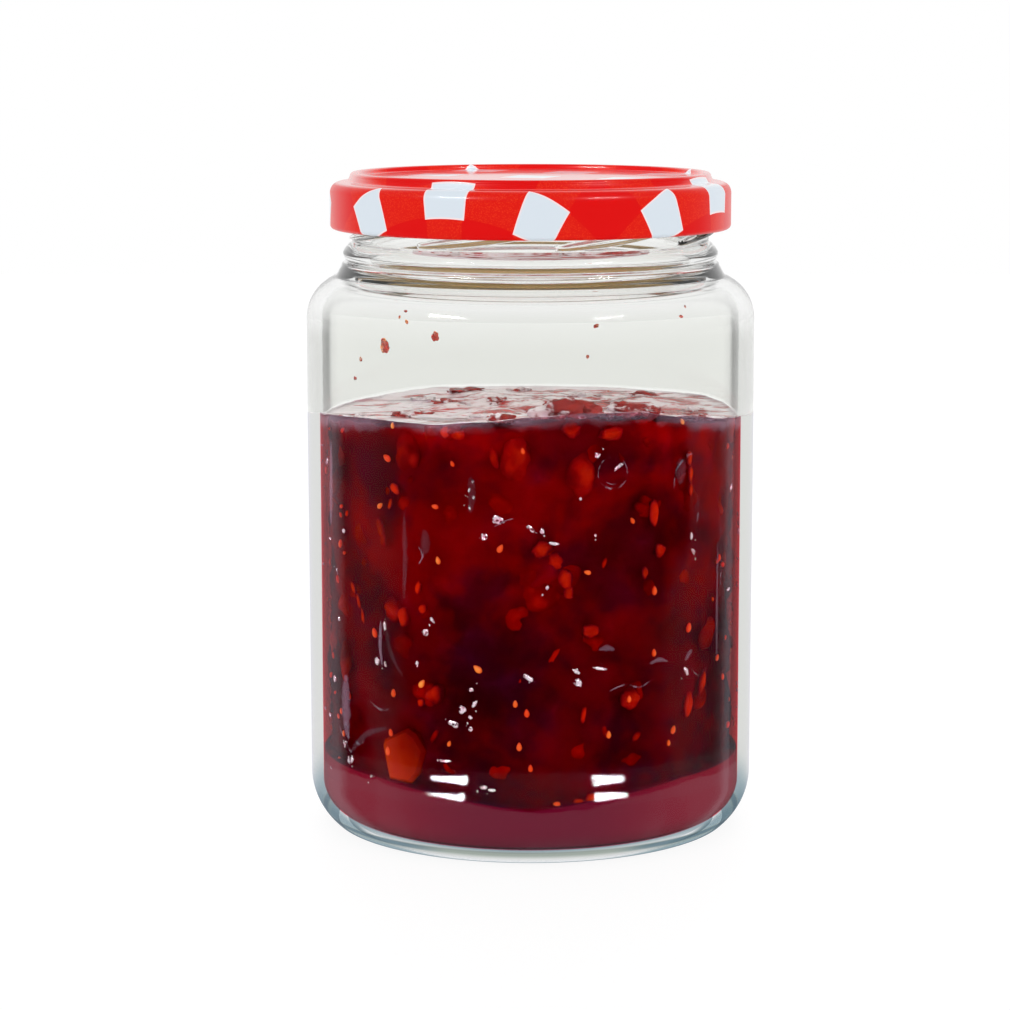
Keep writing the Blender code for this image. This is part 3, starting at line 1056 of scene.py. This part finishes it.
fruit = {
    "placed": (  # degrees round, height, radius, depth of its front behind the wall, in millimetres
        (233, 85.0, 3.0, 1.6), (248, 89.4, 2.0, 0.5), (242, 88.6, 2.6, 1.2), (254, 80, 3.4, 2.2),
        (272, 57, 6.4, 1.2), (266, 51, 3.4, 1.8), (263, 56, 3.0, 1.9), (305, 73, 3.8, 1.6),
        (318, 78, 3.6, 1.7), (268, 82, 3.2, 1.6), (279, 60, 4.4, 1.1), (233, 74, 2.2, 1.0),
        (229, 51.5, 2.8, 0.6), (240, 52, 2.4, 0.9), (212, 53, 2.6, 0.7), (301, 35, 3.2, 1.5),
        (326, 31, 3.0, 0.9), (289, 46, 3.4, 2.2), (273, 46, 3.4, 2.0), (248, 71, 3.2, 2.4),
        (305, 56, 2.4, 1.5), (240, 34.5, 3.6, 0.9), (262, 74, 4.4, 2.2), (284, 24, 4.0, 2.2),
        (300, 20, 3.4, 1.9), (232, 44, 2.6, 0.9), (320, 74, 2.8, 1.0), (284, 84, 5.0, 1.9),
        (214, 66, 3.0, 1.4), (318, 58, 2.6, 1.6), (262, 19, 4.0, 1.9), (331, 44, 3.2, 1.2),
    ),
    "onTop": (  # degrees round, distance from the axis, radius
        (330, 11, 5.0), (355, 20, 3.6), (360, 35, 3.0), (342, 38, 2.6), (305, 33, 4.4), (285, 30, 3.6),
        (153, 20, 3.4), (143, 30, 3.0), (126, 12, 4.0), (209, 40.0, 2.0), (250, 28, 3.2),
        (200, 26, 3.4), (60, 22, 3.6), (95, 35, 3.2), (322, 26, 3.0), (20, 12, 3.2),
    ),
    "lumps": (  # degrees round, distance from the axis, half width, half height of those that stand up
        (279, 39.5, 5.2, 2.5), (286, 40, 3.2, 1.8), (298, 40.5, 3.8, 1.6), (307, 40, 2.8, 1.3),
        (334, 38, 3.2, 1.0), (262, 40, 2.6, 1.0), (222, 36, 2.2, 0.7), (120, 30, 4.0, 0.7),
        (40, 34, 3.4, 0.7),
    ),
    # orange patches painted as light shining through the fruit
    "glows": (  # degrees round, height, half height, half width, tilt, share of orange
        (247.0, 89.4, 1.3, 1.6, 0, 0.7), (250.5, 88.9, 1.0, 1.5, 0, 0.5), (230.6, 76.8, 1.0, 1.4, -40, 0.9),
        (229.2, 73.6, 1.3, 0.5, -20, 0.6), (225.0, 68.4, 1.9, 0.9, 15, 0.45), (226.2, 65.8, 1.5, 0.7, 0, 0.2),
        (233.1, 50.3, 2.2, 1.4, 0, 0.55), (229.0, 51.8, 2.0, 2.3, 0, 0.15), (212.7, 54.4, 1.6, 0.6, 35, 0.6),
        (215.6, 51.8, 1.7, 0.6, 25, 0.5), (217.6, 48.8, 1.6, 0.6, 10, 0.6), (238.4, 56.8, 1.5, 0.6, -10, 1.0),
        (239.7, 52.5, 1.1, 1.0, 0, 0.7), (305.3, 72.1, 2.9, 1.2, 0, 0.75), (307.4, 64.1, 1.5, 1.3, 0, 0.35),
        (302.2, 59.9, 1.2, 0.8, 0, 0.5), (286.4, 48.6, 1.4, 1.8, 0, 0.5), (298.3, 33.7, 2.2, 2.4, 0, 0.35),
        (286.5, 13.4, 1.4, 1.3, 0, 0.8), (283.0, 13.0, 0.9, 1.2, 0, 0.6), (318.6, 30.5, 2.9, 1.2, -15, 0.6),
        (325.1, 34.5, 2.6, 0.9, -25, 0.6), (318.2, 82.6, 1.5, 0.8, 0, 0.6), (318.7, 79.2, 1.8, 0.6, 0, 0.9),
        (318.7, 75.9, 1.4, 0.6, 0, 0.7), (273.0, 65.8, 1.6, 2.2, 30, 0.45), (276.7, 63.3, 1.8, 1.6, 20, 0.5),
        (279.3, 59.6, 2.2, 1.4, 10, 0.6), (280.1, 56.9, 1.4, 1.0, 0, 0.4), (242.9, 34.8, 2.2, 2.0, 0, 0.25),
        (239.0, 32.8, 0.9, 0.9, 0, 0.7), (292.0, 89.0, 1.4, 2.6, 0, 0.6), (281.0, 90.2, 1.6, 2.0, 0, 0.2),
        (234.0, 84.0, 4.0, 3.4, 0, 0.1), (266.0, 84.0, 4.6, 3.0, 0, 0.12), (284.0, 81.0, 5.0, 3.2, 0, 0.1),
    ),
    "scattered": 90,
    "small": 90,
    "draw": 11,  # where the row of random numbers starts
    "topDraw": 17,
    "back": (-25, 205),  # degrees round between which none is listed
    "behind": 0.9,  # share of its half depth that a piece's middle lies behind its front
    "unevenPlaced": (0.26, 1.2),  # how uneven, and how finely
    "uneven": (0.3, 1.3),
    "unevenTop": (0.9, 2.2),
    "unevenLump": (0.6, 1.8),
    "deep": (0.16, 0.001, 0.002),
    "red": (0.30, 0.004, 0.002),
    "orange": (0.66, 0.075, 0.005),
    "wet": (0.23, 0.004, 0.004),
    "wetPale": (0.36, 0.028, 0.024),
}


def makeFruitMaterial():
    # soft pulp that fades into the dark mass round its edges
    material, ground, ending = newMaterial("fruitFlesh")
    place = placeOf(ground)
    broad = grainOf(ground, place, 150.0, 2.0)
    fine = grainOf(ground, place, 480.0, 3.0)
    colour = mixed(broad.between(0.35, 0.6), fruit["deep"], fruit["red"])
    # orange by each piece's tone, as painted light shining through the fruit, and in random spots
    orange = (pointValue(ground, "tone") * 1.2 + (broad + fine - 1.0) * 0.9).clamped()
    colour = mixed(orange, colour, fruit["orange"])
    colour = mixed(pointValue(ground, "open"), jamColour(ground), colour)
    bump = ground.node("ShaderNodeBump", {}, {"Strength": 0.4, "Distance": 0.0004, "Height": fine})
    inputs = {"Base Color": colour, "Roughness": 0.45, "Specular IOR Level": 0.0, "Normal": bump}
    joinTo(ending, painted(ground, inputs))
    return material


def makeFruit():
    random.seed(fruit["draw"])
    pile = Pile()
    reach = glass["innerRadius"] - 0.1
    behind = fruit["behind"]
    for degrees, height, radius, depth in fruit["placed"]:
        radii = (radius * 0.7, radius * random.uniform(0.85, 1.2), radius * random.uniform(0.75, 1.15))
        middle = wallSpot(degrees, height, reach - depth - radii[0] * behind)
        spin = wallSpin(degrees, random.uniform(-40, 40))
        pile.blob("fine", middle, radii, spin, *fruit["unevenPlaced"], reach, sunk=True)
    for degrees, height, tall, wide, tilt, tone in fruit["glows"]:
        deep = min(tall, wide) * 0.7
        middle = wallSpot(degrees, height, reach - 0.25 - deep * behind)
        spin = wallSpin(degrees, tilt)
        pile.blob("fine", middle, (deep, wide, tall), spin, *fruit["uneven"], reach, tone, sunk=True)
    for index in range(fruit["scattered"] + fruit["small"]):
        big = index < fruit["scattered"]
        # the larger ones lie round the back and sides, where none is listed
        degrees = random.uniform(*fruit["back"]) if big else random.uniform(0, 360)
        radius = random.uniform(1.6, 4.6) if big else random.uniform(0.5, 1.6)
        radii = (radius * 0.6, radius * random.uniform(0.5, 1.0), radius * random.uniform(0.9, 1.9))
        height = random.uniform(glass["syrupTop"] + radius, jam["level"] - 1.0)
        middle = wallSpot(degrees, height, reach - random.uniform(0.4, 2.4) - radii[0] * behind)
        spin = wallSpin(degrees, random.uniform(-60, 60))
        tone = random.uniform(0.0, 0.9) ** 3
        pile.blob("middling", middle, radii, spin, *fruit["uneven"], reach, tone, sunk=True)
    pile.finish("fruit_pieces", makeFruitMaterial())


def makeTopFruit():
    # fruit that breaks the jam's surface, wet and bright
    material, ground, ending = newMaterial("wetFruit")
    place = placeOf(ground)
    blend = grainOf(ground, place, 260.0, 3.0)
    colour = mixed(blend.between(0.42, 0.60), fruit["wet"], fruit["wetPale"])
    colour = mixed((blend + pointValue(ground, "tone")).between(0.50, 0.60), jam["froth"], colour)
    inputs = {"Base Color": colour, "Roughness": 0.22, "Specular IOR Level": 0.15}
    joinTo(ending, painted(ground, inputs))
    random.seed(fruit["topDraw"])
    pile = Pile()
    reach = glass["innerRadius"] - 0.2
    for degrees, distance, radius in fruit["onTop"]:
        spot = wallSpot(degrees, 0.0, distance)
        spot.z = jam["level"] + heapHeight(spot.x, spot.y) - radius * 0.1
        radii = (radius, radius * random.uniform(0.6, 0.9), radius * 0.24)
        pile.blob("fine", spot, radii, wallSpin(random.uniform(0, 360), 0.0), *fruit["unevenTop"], reach)
    for degrees, distance, wide, tall in fruit["lumps"]:
        spot = wallSpot(degrees, 0.0, distance)
        spot.z = jam["level"] + heapHeight(spot.x, spot.y) + tall * 0.15
        radii = (wide * 0.7, wide, tall)
        pile.blob("fine", spot, radii, wallSpin(degrees, 0.0), *fruit["unevenLump"], reach, tone=0.12)
    pile.finish("top_fruit", material)


seeds = {
    "placed": (  # degrees round, height, tilt
        (228, 83, 60), (249, 83, 25), (244, 74, 80), (268, 86, 10), (226, 73, -50), (245, 63, 15),
        (208, 22.5, 5), (229, 25.5, 10), (228, 21.5, 0), (248, 25, -20), (269, 32, 5), (267, 25, 0),
        (277, 12.9, 85), (270, 20.5, 0), (312, 26, -20), (310, 23.5, 0), (305, 56, 0), (305, 43, 0),
        (337, 34, 0), (285, 61, 75), (298, 71, 30), (231, 90, 0), (314, 90.5, 40), (210, 31, 30),
        (266, 34, 0), (297, 34, 0), (230, 34, 0), (206, 27, 10), (262, 66, -30), (334, 60, 0),
        (223, 46, 20), (318, 47, -15), (256, 41, 50), (291, 27, 0), (240, 37, -35),
    ),
    "scattered": 120,
    "draw": 23,
    "back": (-30, 210),  # degrees round that the scattered ones lie in
    "length": 0.85, "width": 0.53, "thickness": 0.35,
    "orange": (0.86, 0.13, 0.004),
    "yellow": (0.95, 0.44, 0.05),
}


def makeSeedMaterial():
    material, ground, ending = newMaterial("seedSkin")
    place = placeOf(ground)
    each = grainOf(ground, place, 90.0, 0.0)
    skin = grainOf(ground, place, 2200.0, 2.0)
    # paler where a seed faces out of the jam: a painted highlight on its middle
    pale = (each + (skin - 0.5) * 0.3).between(0.42, 0.62) * 0.6 + pointValue(ground, "open") * 0.4
    colour = mixed(pale, seeds["orange"], seeds["yellow"])
    inputs = {"Base Color": colour, "Roughness": 0.4, "Specular IOR Level": 0.2}
    joinTo(ending, painted(ground, inputs))
    return material


def addSeed(pile, degrees, height, tilt, depth, size):
    # a flat drop, pointed at its upper end
    start = len(pile.points)
    middle = wallSpot(degrees, height, glass["innerRadius"] + 0.1 - depth - seeds["thickness"] * size)
    turn = wallSpin(degrees, tilt).to_matrix()
    ways, faces = balls["middling"]
    for way in ways:
        taper = 1.0 - 0.38 * max(way.z, -0.2)
        shape = (way.x * seeds["thickness"], way.y * seeds["width"] * taper, way.z * seeds["length"])
        pile.points.append(tuple((turn @ Vector(shape) * size + middle) * mm))
        pile.open.append(smoothStep(way.x, 0.2, 1.0))
        pile.tone.append(0.0)
    pile.faces.extend([[start + corner for corner in face] for face in faces])


def makeSeeds():
    random.seed(seeds["draw"])
    pile = Pile()
    for degrees, height, tilt in seeds["placed"]:
        addSeed(pile, degrees, height, tilt, random.uniform(-0.3, 0.4), random.uniform(0.75, 1.3))
    for _ in range(seeds["scattered"]):
        degrees = random.uniform(*seeds["back"])
        height = random.uniform(glass["syrupTop"] + 2.0, jam["level"] - 1.0)
        tilt = random.uniform(-80, 80)
        addSeed(pile, degrees, height, tilt, random.uniform(0.0, 1.2), random.uniform(0.6, 1.2))
    pile.finish("fruit_seeds", makeSeedMaterial())


pocketGlints = {
    "placed": (  # degrees round, height, half length, half width, tilt
        (287.5, 85, 0.75, 0.65, 0), (293.5, 82.5, 1.5, 0.5, -55), (261.5, 72, 1.5, 1.0, 70),
        (258, 68.5, 0.9, 0.8, 0), (270, 70.3, 1.6, 0.5, 50), (273, 69.6, 0.9, 0.5, 0),
        (283, 76.2, 0.45, 0.35, 0), (287, 68.6, 0.4, 0.3, 0), (276, 67.2, 1.3, 0.4, 85),
        (243.5, 50.6, 0.9, 0.4, 40), (228, 48, 1.1, 0.4, 10), (241.4, 47.9, 0.9, 0.8, 20),
        (254.3, 36.7, 0.5, 0.75, 0), (251.8, 32.4, 1.1, 1.0, 0), (255.3, 33.8, 1.0, 0.5, -35),
        (254.2, 31.2, 0.8, 0.5, 0), (249.5, 29.3, 0.7, 1.3, -20), (254.2, 28.5, 0.6, 0.5, 0),
        (282, 40.6, 1.0, 0.5, 60), (282.3, 38.4, 1.1, 0.9, 45), (288.5, 41, 1.7, 0.4, 80),
        (269.5, 39.5, 1.5, 0.6, 60), (238.8, 41.1, 0.7, 0.4, 0), (225.0, 40.3, 0.9, 0.8, 0),
        (228.1, 40.0, 0.8, 0.35, 15), (274.3, 58.1, 0.5, 0.45, 0), (247.0, 21.4, 0.35, 1.6, 0),
        (316, 38, 1.2, 0.6, 30), (317.7, 66.3, 0.9, 0.4, 0), (318.6, 63, 1.1, 0.5, 45),
        (212.4, 17.6, 1.0, 1.6, 20), (209.0, 20.7, 0.7, 1.1, 0), (222.6, 15.3, 0.5, 0.9, 0),
        (257.7, 16.5, 0.5, 0.9, 0), (259.9, 15.9, 0.4, 0.9, 0), (205, 57, 0.9, 0.3, 0),
        (254.9, 79.8, 0.5, 0.3, 20), (254.0, 77.9, 0.6, 0.25, -15), (255.2, 76.4, 0.4, 0.3, 0),
        (254.1, 74.4, 0.6, 0.25, 10),
    ),
    "size": 0.8,
    "thickness": 0.25,
    "depth": 0.15,  # how far a pocket's middle lies in from the wall
    "scattered": 90,
    "draw": 37,
    "back": (-30, 210),  # degrees round that the scattered ones lie in
    "uneven": (0.55, 1.8),  # how uneven, and how finely
    "unevenCrumb": (0.4, 1.5),
    "unevenScattered": (0.5, 1.8),
    # painted glint: the silver white stands in for light mirrored by the trapped air
    "colour": (0.84, 0.87, 0.92),
}


def makePocketGlintMaterial():
    # air trapped against the wall, drawn silver white as a painted glint, broken up by the jelly that touches
    # it
    material, ground, ending = newMaterial("trappedAirGlint")
    place = placeOf(ground)
    broken = grainOf(ground, place, 900.0, 3.0)
    clear = clearOf(ground)
    inputs = {"Base Color": (*pocketGlints["colour"], 1.0), "Roughness": 0.25, "Metallic": 0.6}
    silver = painted(ground, inputs)
    # each shows jam through its middle
    share = broken.between(0.42, 0.52) * (1.0 - pointValue(ground, "open") * 0.35)
    joinTo(ending, layered(ground, share, clear, silver))
    return material


def makePocketGlints():
    random.seed(pocketGlints["draw"])
    pile = Pile()
    reach = glass["innerRadius"] + jam["reach"] - 0.05
    for degrees, height, tall, wide, tilt in pocketGlints["placed"]:
        middle = wallSpot(degrees, height, reach - pocketGlints["depth"])
        radii = (pocketGlints["thickness"], wide * pocketGlints["size"], tall * pocketGlints["size"])
        pile.blob("middling", middle, radii, wallSpin(degrees, tilt), *pocketGlints["uneven"], reach)
        # a crumb of air beside it
        turn = degrees + random.uniform(-2.2, 2.2)
        aside = wallSpot(turn, height + random.uniform(-1.8, 1.8), reach - 0.1)
        size = random.uniform(0.06, 0.2)
        radii = (0.15, size, size * 1.4)
        pile.blob("coarse", aside, radii, wallSpin(degrees, 0.0), *pocketGlints["unevenCrumb"], reach)
    for _ in range(pocketGlints["scattered"]):
        degrees = random.uniform(*pocketGlints["back"])
        height = random.uniform(glass["syrupTop"] + 1.5, jam["level"] - 2.0)
        size = random.uniform(0.3, 1.1)
        middle = wallSpot(degrees, height, reach - pocketGlints["depth"])
        radii = (pocketGlints["thickness"], size * random.uniform(0.3, 0.9), size)
        spin = wallSpin(degrees, random.uniform(-90, 90))
        pile.blob("coarse", middle, radii, spin, *pocketGlints["unevenScattered"], reach)
    pile.finish("air_pocket_glints", makePocketGlintMaterial())


strokes = {
    "pale": (  # half width, then turning points as degrees round and height: thin pale lines, partly smears and partly painted glints
        (0.16, (310.6, 76.8), (311.6, 80.8), (315.4, 83.2), (318.6, 83.6)),
        (0.14, (319.6, 76.0), (320.4, 72.0), (319.8, 69.0)),
        (0.30, (210.0, 25.6), (211.8, 23.0), (210.8, 20.8), (213.6, 19.0)),
        (0.20, (206.0, 24.0), (208.4, 22.2), (209.6, 24.6), (212.2, 24.2)),
        (0.22, (214.0, 22.8), (217.0, 21.6), (219.4, 22.6)),
        (0.18, (239.4, 65.8), (240.8, 63.8), (239.6, 62.0)),
        (0.12, (260.6, 70.6), (263.4, 71.8), (266.6, 72.6)),
        (0.14, (291.0, 36.2), (295.2, 37.2), (299.8, 36.4), (303.0, 37.4)),
        (0.12, (317.8, 38.4), (321.0, 36.6), (324.0, 37.6)),
        (0.16, (332.0, 67.0), (332.4, 60.0), (332.0, 52.0)),
        (0.18, (222.0, 31.6), (226.4, 30.2), (230.4, 31.0)),
    ),
    "sheenVeils": (  # half width, strength, then turning points: broad faint runs of syrup, partly painted highlights
        (0.60, 0.07, (235.0, 72.2), (235.2, 63.0), (234.8, 54.0)),
        (0.90, 0.05, (254.4, 80.6), (254.8, 77.0), (254.2, 73.2)),
        (1.2, 0.34, (201.4, 84.5), (201.2, 75.0), (200.7, 66.3)),
        (0.50, 0.42, (226.6, 49.1), (226.3, 44.0), (226.9, 39.6)),
        (2.0, 0.32, (210.5, 35.6), (210.2, 29.0), (210.8, 22.0)),
        (1.10, 0.06, (241.3, 69.2), (241.6, 66.5), (241.2, 64.0)),
        (0.60, 0.05, (228.6, 50.0), (229.2, 45.0), (231.4, 41.0), (234.0, 38.4)),
        (0.70, 0.09, (212.6, 19.0), (216.6, 22.0), (222.0, 24.8), (229.0, 26.6)),
        (1.60, 0.06, (313.2, 83.0), (313.2, 80.4), (313.2, 77.6)),
        (0.60, 0.22, (288.0, 44.9), (290.2, 45.2), (292.4, 44.7)),
        (0.55, 0.26, (315.6, 40.4), (317.0, 41.8), (318.4, 42.2)),
        (0.45, 0.26, (303.0, 41.0), (306.0, 41.6), (309.1, 40.9)),
        (0.50, 0.22, (330.6, 64.0), (330.2, 50.0), (330.6, 38.0)),
        (1.00, 0.07, (60.0, 70.0), (60.6, 55.0), (59.8, 38.0)),
        (0.80, 0.08, (120.0, 60.0), (120.6, 48.0), (119.4, 30.0)),
    ),
    "ring": (  # a long bubble's edge: its middle's turn and height, radius, start, end, half width
        (291.8, 81.3, 3.3, 100.0, 200.0, 0.16),
        (291.8, 81.3, 3.3, 215.0, 330.0, 0.22),
        (291.8, 81.3, 3.1, 340.0, 405.0, 0.14),
        (291.8, 81.3, 2.4, 230.0, 300.0, 0.12),
    ),
    "strength": 0.45,
    "paleGain": 1.5,  # how much wider the pale ones are drawn than their half width says
    "flat": 0.1,  # half thickness
    "ringSteps": 24,
    "colour": (0.42, 0.29, 0.40),
}


def makeStrokeMaterial():
    # smears of syrup and foam on the wall, lilac grey and worn through in places, and painted highlights
    # running down it
    material, ground, ending = newMaterial("syrupSmearGlint")
    place = placeOf(ground)
    worn = grainOf(ground, place, 700.0, 3.0)
    clear = clearOf(ground)
    inputs = {"Base Color": (*strokes["colour"], 1.0), "Roughness": 0.3, "Specular IOR Level": 0.1}
    smear = painted(ground, inputs)
    tone = pointValue(ground, "tone")
    whole = 1.0 - tone.between(strokes["strength"] - 0.02, strokes["strength"] - 0.01)
    share = (worn.between(0.40, 0.60) + whole).clamped() * tone * (pointValue(ground, "open") * 0.9 + 0.1)
    joinTo(ending, layered(ground, share, clear, smear))
    return material


def makeStrokes():
    pile = Pile()
    reach = glass["innerRadius"] + jam["reach"] - 0.1
    for half, *turns in strokes["pale"]:
        path = [wallSpot(degrees, height, reach) for degrees, height in eased(turns, 8)]
        pile.stroke(path, half * strokes["paleGain"], strokes["flat"], strokes["strength"])
    for half, strength, *turns in strokes["sheenVeils"]:
        path = [wallSpot(degrees, height, reach - 0.05) for degrees, height in eased(turns, 10)]
        pile.stroke(path, half, strokes["flat"], strength, around=16)
    for degrees, height, radius, begin, end, half in strokes["ring"]:
        perMm = 180.0 / (math.pi * reach)
        path = []
        for step in range(strokes["ringSteps"] + 1):
            a = math.radians(begin + (end - begin) * step / strokes["ringSteps"])
            turn = degrees + radius * math.cos(a) * perMm
            path.append(wallSpot(turn, height + radius * math.sin(a), reach))
        pile.stroke(path, half, strokes["flat"], strokes["strength"])
    pile.finish("syrup_smears_and_glints", makeStrokeMaterial())


peel = {
    "outline": (  # degrees round and height of the piece's corners
        (225.4, 22.6), (228.0, 15.2), (235.6, 15.4), (238.2, 17.6), (240.4, 22.6), (237.4, 25.8),
        (234.4, 26.9), (226.2, 23.8),
    ),
    "thickness": 4.0, "bevel": 0.8,
    # painted light and shade: the lit edge, the body, and the shaded side
    "bright": (0.56, 0.17, 0.003),
    "body": (0.33, 0.062, 0.002),
    "shade": (0.17, 0.010, 0.003),
}


def makePeelMaterial():
    material, ground, ending = newMaterial("candiedPeel")
    place = placeOf(ground)
    across = alongAxis(ground, "X")
    height = heightOf(ground)
    grain = grainOf(ground, place, 420.0, 2.0) - 0.5
    # painted light and shade: paler towards the lower left edge, darker towards the upper right
    lean = across * 0.8 + (height - 20.0) * 0.55 + grain * 3.0
    colour = mixed(lean.between(-22.0, -15.5), peel["body"], peel["shade"])
    colour = mixed(1.0 - lean.between(-27.0, -19.0), colour, peel["bright"])
    inputs = {"Base Color": colour, "Roughness": 0.4, "Specular IOR Level": 0.0}
    joinTo(ending, painted(ground, inputs))
    return material


def makePeel():
    # a cut piece of candied orange peel: its outline, with a bevelled front and straight sides
    rings = []
    corners = peel["outline"]
    middleDegrees = sum(degrees for degrees, height in corners) / len(corners)
    middleHeight = sum(height for degrees, height in corners) / len(corners)
    reach = glass["innerRadius"] - 0.25
    for depth, shrink in ((0.0, 0.86), (peel["bevel"], 1.0), (peel["thickness"], 0.94)):
        ring = []
        for degrees, height in corners:
            d = middleDegrees + (degrees - middleDegrees) * shrink
            ring.append(wallSpot(d, middleHeight + (height - middleHeight) * shrink, reach - depth))
        rings.append(ring)
    points = [tuple(spot * mm) for ring in rings for spot in ring]
    count = len(corners)
    faces = [list(range(count)), list(reversed(range(2 * count, 3 * count)))]
    for row in (0, count):
        for corner in range(count):
            after = (corner + 1) % count
            faces.append([row + corner, row + count + corner, row + count + after, row + after])
    piece = makeObject("orange_peel", points, faces, [makePeelMaterial()], smooth=False)
    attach(piece, "root")


splashes = {
    "placed": (  # degrees round, height, half length, half width, tilt
        (229.8, 106.4, 1.5, 1.1, 20), (245.2, 108.8, 0.9, 0.8, 0), (236.8, 111.2, 0.5, 0.3, 40),
        (312.0, 111.8, 0.5, 0.3, 80), (314.0, 113.6, 0.3, 0.2, 0), (221.0, 103.1, 0.45, 0.3, 0),
        (218.6, 99.0, 0.4, 0.3, 0), (284.5, 105.1, 0.35, 0.3, 0), (290.0, 98.0, 0.2, 0.2, 0),
        (234.5, 112.0, 0.3, 0.25, 0), (70.0, 104.0, 0.9, 0.6, 30), (130.0, 110.0, 0.6, 0.5, 0),
    ),
    "thickness": 0.4,
    "draw": 41,
    "uneven": (0.35, 1.6),  # how uneven, and how finely
    "red": (0.62, 0.06, 0.04),
    "orange": (0.95, 0.42, 0.16),
    "clear": (0.95, 0.8, 0.75),
}


def makeSplashes():
    # drops of jam that dried on the bare wall
    material, ground, ending = newMaterial("jamDrops")
    place = placeOf(ground)
    blend = grainOf(ground, place, 420.0, 2.0)
    colour = mixed(blend.between(0.46, 0.58), splashes["red"], splashes["orange"])
    worn = grainOf(ground, place, 1300.0, 2.0)
    clear = clearOf(ground, splashes["clear"])
    drop = painted(ground, {"Base Color": colour, "Roughness": 0.3})
    share = worn.between(0.3, 0.5) * (1.0 - pointValue(ground, "open") * 0.7)  # thin in the middle
    joinTo(ending, layered(ground, share, clear, drop))
    random.seed(splashes["draw"])
    pile = Pile()
    reach = glass["innerRadius"] - 0.05
    for degrees, height, tall, wide, tilt in splashes["placed"]:
        radii = (splashes["thickness"], wide, tall)
        spot = wallSpot(degrees, height, reach)
        pile.blob("middling", spot, radii, wallSpin(degrees, tilt), *splashes["uneven"], reach)
    pile.finish("wall_drops", material)


print("scene: jam")
makeGel()
makeCore()
print("scene: fruit, seeds and trapped air")
makeFruit()
makeTopFruit()
makeSeeds()
makePocketGlints()
print("scene: smears, peel and drops")
makeStrokes()
makePeel()
makeSplashes()
